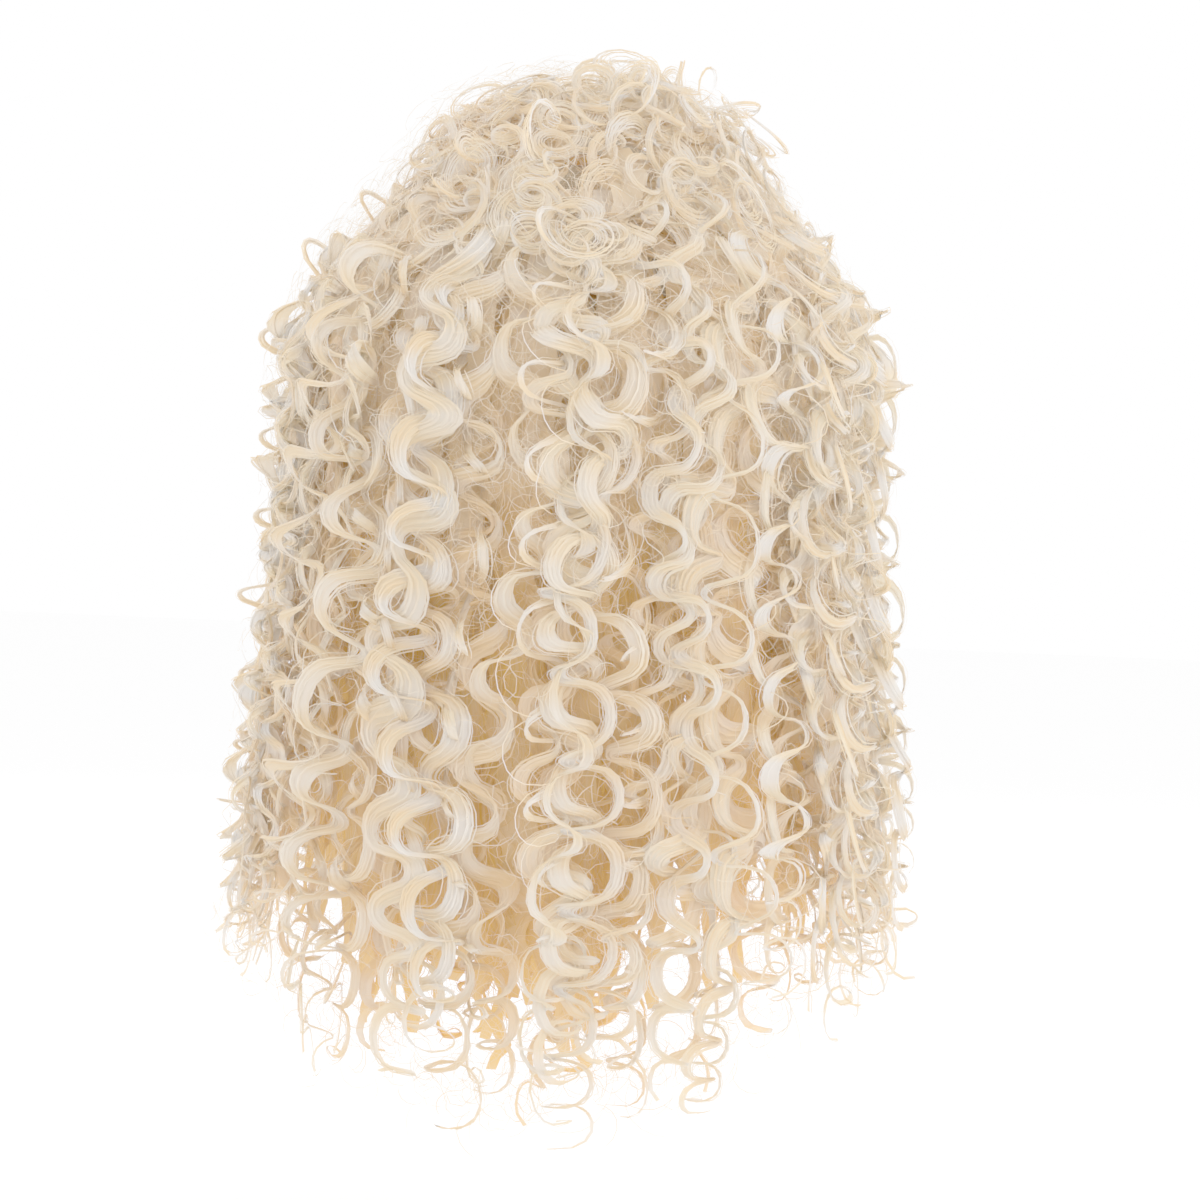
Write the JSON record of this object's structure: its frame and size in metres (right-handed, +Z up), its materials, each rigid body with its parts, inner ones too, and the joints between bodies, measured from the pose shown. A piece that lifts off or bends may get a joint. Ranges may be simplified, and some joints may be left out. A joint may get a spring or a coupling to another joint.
{
  "type": "curly wig",
  "caption": "Long blonde wig of spiral curls: a hollow cap with an open face and underside, and rows of curly locks on sewn strips.",
  "frame": {"origin": "inside of the cap at the crown, where the top of the head touches it", "axes": "+Z up, the face looks along -Y, +X to the wearer's left"},
  "size_m": [0.3326, 0.2882, 0.4936],
  "materials": {
    "hair": "soft gloss, fine strands",
    "cap_cloth": "matt woven cloth"
  },
  "bodies": {
    "root": {"cap": "cap_cloth", "weft_nape": "hair", "weft_middle": "hair", "weft_back": "hair", "weft_left": "hair", "weft_right": "hair", "hairline_left": "hair", "hairline_right": "hair", "crown_curls": "hair"}
  },
  "joints": []
}
